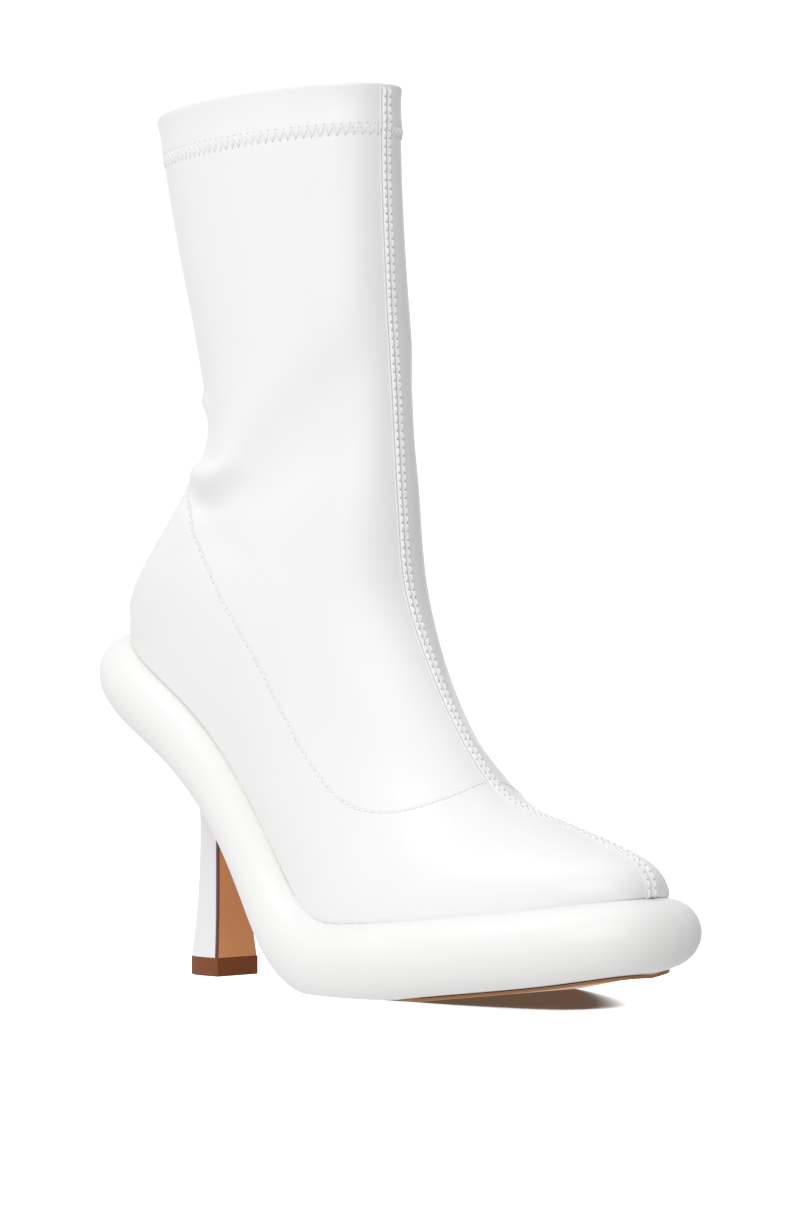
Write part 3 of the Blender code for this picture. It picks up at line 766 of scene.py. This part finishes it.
def soleRing(outBy, upBy, lowest):
    # outer and inner lines of points moved outward and upward from the sole's edge, no lower than a height;
    # the toe's underside rolls, lower on the outer side, in step with the depth below the edge
    lines = soleEdges + outBy[:, None] * soleOuts + upBy[:, None] * upward
    depth = np.clip(-upBy / soleSize["thick"], 0, 1)
    lines[..., 2] += soleSize["roll"] * depth * lines[..., 1]
    lines[..., 2] = np.maximum(lines[..., 2], lowest)
    return lines


def slabGrid(rings, across=9):
    # rings of a slab at each station: up the outer side, across the top, down the inner side and back below
    outer, inner = np.stack(rings, axis=2)
    way = np.linspace(0, 1, across + 2)[1:-1, None]
    top = outer[:, -1:] + (inner[:, -1:] - outer[:, -1:]) * way
    bottom = inner[:, :1] + (outer[:, :1] - inner[:, :1]) * way
    return np.concatenate([outer, top, inner[:, ::-1], bottom], axis=1)


# the tube is a half round, squarer below where the ball's weight spreads it on the floor
radius = soleSize["thick"] / 2
bottom = soleSize["rise"] - soleForm["gap"] - soleSize["thick"]
recess = outsoleForm["thick"] + soleForm["gap"]
tube = []
for inset, lowest in zip(soleForm["shelf"], (recess, soleForm["floorGap"])):
    tube.append(soleRing(-soleSize["outsoleInset"] - inset, bottom, lowest))
for angle in np.linspace(-np.pi / 2, np.pi / 2, 40):
    squared = np.maximum(np.cos(angle), 0) ** (1 - soleSize["square"] * (angle < 0))
    upBy = radius * (np.sin(angle) - 1) - soleForm["gap"] + soleSize["rise"]
    tube.append(soleRing(soleSize["out"] - radius + radius * squared, upBy, soleForm["floorGap"]))
platformGrid = slabGrid(tube)
platform = makePiece("padded_platform", platformGrid, gridFaces(platformGrid, wrap=True),
                     finishes["padding"], "padded_white_leather")
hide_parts("platform")
underLine = tube[0].reshape(-1, 3)

# the board's beige edge shows as a fine bead where the upper meets the tube
bead = dict(radius=0.28, out=0.1, low=-0.5, up=0.1, shows=(7.5, 10.0))
onTube = np.sqrt(radius**2 - (radius - soleSize["out"]) ** 2) - radius - soleForm["gap"] + soleSize["rise"]
level = np.ones_like(stations)
beadRings = []
for angle in np.linspace(0, 2 * np.pi, 8, endpoint=False):
    outBy = level * (bead["out"] + bead["radius"] * np.cos(angle))
    sunk = bead["low"] + (bead["up"] - bead["low"]) * ease(stations, *bead["shows"])
    beadRings.append(soleRing(outBy, onTube + sunk + bead["radius"] * np.sin(angle), 0.0))
beadOuter, beadInner = np.stack(beadRings, axis=2)
beadGrid = np.concatenate([beadOuter, beadInner[-2:0:-1], beadOuter[:1]])
makePiece("board_edge_bead", beadGrid, gridFaces(beadGrid, wrap=True), finishes["bead"], "sock_leather")

sockGrid = slabGrid([soleRing(-level * (sockForm["inset"] + inset), level * height, 0.0)
                     for inset, height in sockForm["edge"]])
sock = makePiece("sock_lining", sockGrid, gridFaces(sockGrid, wrap=True), finishes["sock"], "sock_leather")
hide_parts("insole")

outsoleRings = []
for depth, inset in outsoleForm["edge"]:
    upBy = soleSize["rise"] - soleSize["thick"] - 2 * soleForm["gap"] - depth
    outsoleRings.append(soleRing(-soleSize["outsoleInset"] - inset, upBy, outsoleForm["thick"] - depth))
outsoleGrid = slabGrid(outsoleRings)[stations <= outsoleForm["end"]]
outsoleFaces = closedStack(outsoleGrid)
del outsoleFaces[-2]  # the ring at the toe tip is folded flat and needs no lid
outsole = makePiece("outsole_sheet", outsoleGrid, outsoleFaces, [finishes["tan"], finishes["soleEdge"]],
                    "tan_sole_leather", smooth=False)
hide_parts("outsole")
# its edge is burnished where it faces forward or to a side
for face in outsole.data.polygons:
    face.material_index = int(abs(face.normal.z) < 0.6 and abs(face.normal.y) + face.normal.x > 0.5)
print("sole made")

# Heel: plan outlines, flat in front and rounded behind, stacked from the top lift to the platform
heelForm = dict(
    rows=dict(  # z, front x, depth, width and middle y
        foot=(6.02, -71.4, 15.2, 17.3, -3.7),
        low=(18.0, -72.4, 13.0, 14.6, -3.7),
        slim=(34.0, -73.6, 10.9, 12.2, -3.7),
        neck=(50.0, -73.8, 10.6, 12.0, -3.6),
    ),
    seat=(-71.4, 22.0, 25.0, -2.4),  # the same but for z, which the platform gives
    squareness=0.6,
    breastThick=1.2,
    chamfer=0.25,
)
liftForm = dict(spread=0.3, edge=((0.0, 0.25), (0.25, 0.0), (5.8, 0.0), (6.0, 0.2)))  # height and inset


def heelOutline(breastX, depth, width, middle, count=72):
    # a flattened half round: powers of the sine and cosine below one square it off
    turn = np.linspace(-np.pi / 2, np.pi / 2, count)
    power = heelForm["squareness"]
    x = breastX - depth * np.cos(turn).clip(0) ** power
    y = middle + width / 2 * np.sign(np.sin(turn)) * np.abs(np.sin(turn)) ** power
    return np.stack([x, y], axis=-1)


def underPlatform(x):
    # height of the platform's underside, interpolated along the line inside the outsole's edge
    order = np.argsort(underLine[:, 0])
    return np.interp(x, underLine[order, 0], underLine[order, 2])


# outlines up the stem, then from its neck to the seat, where the plan spreads by the square of the way up
stem = curveThrough(range(len(heelForm["rows"])), list(heelForm["rows"].values()))
heelRings = []
for z, *plan in stem(np.linspace(0, len(heelForm["rows"]) - 1, 40)):
    outline = heelOutline(*plan)
    heelRings.append(np.column_stack([outline, np.full(len(outline), z)]))
neck = heelRings[-1]
outline = heelOutline(*heelForm["seat"])
rise = np.column_stack([outline, underPlatform(outline[:, 0]) - soleForm["gap"]]) - neck
heelRings += [neck + rise * (share**2, share**2, share) for share in np.linspace(0, 1, 16)[1:]]
heelGrid = np.array(heelRings)
heel = makePiece("heel_block", heelGrid, closedStack(heelGrid, flip=True), finishes["heelCover"],
                 "heel_cover_leather")
heel.data.set_sharp_from_angle(angle=np.radians(50))
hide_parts("heel")

breastRings = []
for ring in heelGrid:
    back = ring[0, 0] + soleForm["gap"]
    front = back + heelForm["breastThick"]
    right = ring[0, 1]
    left = ring[-1, 1]
    z = min(ring[0, 2], underPlatform(front) - soleForm["gap"])
    cut = heelForm["chamfer"]
    outline = [(back, right), (front - cut, right), (front, right + cut), (front, left - cut),
               (front - cut, left), (back, left)]
    breastRings.append([(x, y, z) for x, y in outline])
breastGrid = np.array(breastRings)
breast = makePiece("heel_breast_facing", breastGrid, closedStack(breastGrid),
                   [finishes["tan"], finishes["edgeDye"]], "tan_sole_leather", smooth=False, weld=0.0005)
for face in breast.data.polygons:
    face.material_index = int(face.normal.x <= 0.9)  # all but the front is dyed
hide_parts("heel_breast")

facing = soleForm["gap"] + heelForm["breastThick"]
_, breastX, depth, width, middle = heelForm["rows"]["foot"]
liftRings = []
for height, inset in liftForm["edge"]:
    spread = liftForm["spread"] - 2 * inset
    outline = heelOutline(breastX + facing - inset, depth + facing + spread, width + spread, middle)
    liftRings.append(np.column_stack([outline, np.full(len(outline), height)]))
liftGrid = np.array(liftRings)
lift = makePiece("heel_top_lift", liftGrid, closedStack(liftGrid, flip=True), finishes["lift"], "lift_rubber")
lift.data.set_sharp_from_angle(angle=np.radians(35))
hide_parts("top_lift")
print("heel made")

# Lining: a knitted sock inside the leather, from the facing down to the sole
liningForm = dict(fromWall=1.05, wall=0.6, toe=0.6, top=22.5, columns=120, rows=90)
liningTurns = np.linspace(-1, 1, liningForm["columns"])
liningSections = np.linspace(liningForm["toe"], liningForm["top"], liningForm["rows"])[:, None]
liningBase = upperPoint(liningSections, liningTurns)
liningOut = upperNormal(liningSections, liningTurns)
liningHeight = np.minimum(creaseHeight(liningBase), 0) - liningForm["fromWall"]
liningGrid = liningBase + liningOut * liningHeight[..., None]
makePiece("inner_lining", liningGrid, gridFaces(liningGrid), finishes["lining"], "sock_leather",
          wall=liningForm["wall"])
print("lining made")

# Camera: level, half way round from the outer side to the toe, as far off and as high as the photograph's
view = dict(azimuth=45.0, distance=1500.0, height=119.0, focal=4822.5, frameHeight=1209.0, sensor=36.0)
turned = np.radians(view["azimuth"])
cameraData = bpy.data.cameras.new("camera")
cameraData.sensor_width = view["sensor"]
cameraData.lens = view["sensor"] * view["focal"] / view["frameHeight"]
cameraData.clip_end = 50
camera = bpy.data.objects.new("camera", cameraData)
spot = np.array([view["distance"] * np.sin(turned), -view["distance"] * np.cos(turned), view["height"]])
camera.location = (spot + shift) * mm
camera.rotation_euler = (np.pi / 2, 0, turned)
bpy.context.collection.objects.link(camera)
bpy.context.scene.camera = camera

# Stage: a pale floor before a white backdrop, in a room that is dim to the right, with soft boxes by the
# camera, above the boot and above its near side
floorLook = {"Base Color": linearColour("#505050"), "Roughness": 0.2, "IOR": 1.03,
             "Emission Color": linearColour("#ffffff")}
floorPatch = dict(middle=(74, -8, 0), size=(85, 60, 60), edge=(0.75, 1.15))
roomLook = dict(left=0.875, right=0.43, fade=0.8, backdrop=1.3, backdropEdge=(0.85, 0.97))
sunLook = dict(power=94.0, spread=0.26, tilt=62.5, turn=160.0)
softBoxes = dict(  # place and aim in metres, width, height and watts
    frontBox=((1.3, -1.5, 1.1), (0, 0, 0.13), 1.6, 1.4, 10.8),
    topBox=((0.35, 0.25, 1.9), (0, 0, 0.1), 1.6, 1.6, 2.8),
    nearBox=((-0.3, -0.75, 1.75), (0, 0, 0.1), 0.9, 0.9, 4.4),
)
bpy.context.scene.view_settings.view_transform = "Standard"
floorFinish, floorTree, floorShader = newShader("paleFloor", floorLook)
# the floor glows white outside the patch under the forefoot, the only place where a shadow is seen
place = addNode(floorTree, "TexCoord", {})
within = addNode(floorTree, "Mapping", {
    "vector_type": "TEXTURE", "Location": np.array(floorPatch["middle"]) * mm,
    "Scale": np.array(floorPatch["size"]) * mm}, [("Vector", place.outputs["Object"])])
away = addNode(floorTree, "VectorMath", {"operation": "LENGTH"}, [(0, within.outputs["Vector"])])
addNode(floorTree, "MapRange", {
    "interpolation_type": "SMOOTHSTEP", "From Min": floorPatch["edge"][0], "From Max": floorPatch["edge"][1]},
    [("Value", away.outputs["Value"])], [("Result", floorShader["Emission Strength"])])
floorMesh = bpy.data.meshes.new("floor")
floorMesh.from_pydata([(-20, -20, 0), (20, -20, 0), (20, 20, 0), (-20, 20, 0)], [], [(0, 1, 2, 3)])
floorMesh.materials.append(floorFinish)
floor = bpy.data.objects.new("floor", floorMesh)
floor.location.z = -0.0001
floor.visible_diffuse = False  # it throws no light back on the boot
floor.visible_glossy = False
bpy.context.collection.objects.link(floor)

world = bpy.data.worlds.new("studio")
world.use_nodes = True
air = world.node_tree
toward = [(0, addNode(air, "TexCoord", {}).outputs["Generated"])]
sideways = (np.cos(turned), np.sin(turned), 0)
ahead = (-np.sin(turned), np.cos(turned), 0)
aside = addNode(air, "VectorMath", {"operation": "DOT_PRODUCT", 1: sideways}, toward)
behind = addNode(air, "VectorMath", {"operation": "DOT_PRODUCT", 1: ahead}, toward)
room = addNode(air, "MapRange", {
    "interpolation_type": "SMOOTHSTEP", "From Min": 0.0, "From Max": roomLook["fade"],
    "To Min": roomLook["left"], "To Max": roomLook["right"]}, [("Value", aside.outputs["Value"])])
backdrop = addNode(air, "MapRange", {
    "From Min": roomLook["backdropEdge"][0], "From Max": roomLook["backdropEdge"][1],
    "To Max": roomLook["backdrop"]}, [("Value", behind.outputs["Value"])])
backlight = air.nodes["Background"].inputs
backlight["Color"].default_value = linearColour("#ffffff")
addNode(air, "Math", {"operation": "MAXIMUM"},
        [(0, room.outputs["Result"]), (1, backdrop.outputs["Result"])], [("Value", backlight["Strength"])])
bpy.context.scene.world = world

# the soft boxes light the boot alone; the floor has one low sun to itself, and only the outsole shades it
floorOnly = bpy.data.collections.new("floorOnly")
floorOnly.objects.link(floor)
soleOnly = bpy.data.collections.new("soleOnly")
soleOnly.objects.link(outsole)
bootOnly = bpy.data.collections.new("bootOnly")
for piece in bpy.context.scene.objects:
    if piece.type == "MESH" and piece != floor:
        bootOnly.objects.link(piece)
for name, (place, aim, width, height, power) in softBoxes.items():
    box = bpy.data.lights.new(name, "AREA")
    box.shape = "RECTANGLE"
    box.size = width
    box.size_y = height
    box.energy = power
    lamp = bpy.data.objects.new(name, box)
    lamp.location = place
    away = np.subtract(place, aim)
    tilt = np.arctan2(np.hypot(away[0], away[1]), away[2])
    lamp.rotation_euler = (tilt, 0, np.arctan2(away[1], away[0]) + np.pi / 2)
    bpy.context.collection.objects.link(lamp)
    lamp.light_linking.receiver_collection = bootOnly
sun = bpy.data.lights.new("floorSun", "SUN")
sun.energy = sunLook["power"]
sun.angle = sunLook["spread"]
floorLamp = bpy.data.objects.new("floorSun", sun)
floorLamp.rotation_euler = (np.radians(sunLook["tilt"]), 0, np.radians(sunLook["turn"]))
bpy.context.collection.objects.link(floorLamp)
floorLamp.light_linking.receiver_collection = floorOnly
floorLamp.light_linking.blocker_collection = soleOnly
print("stage made")
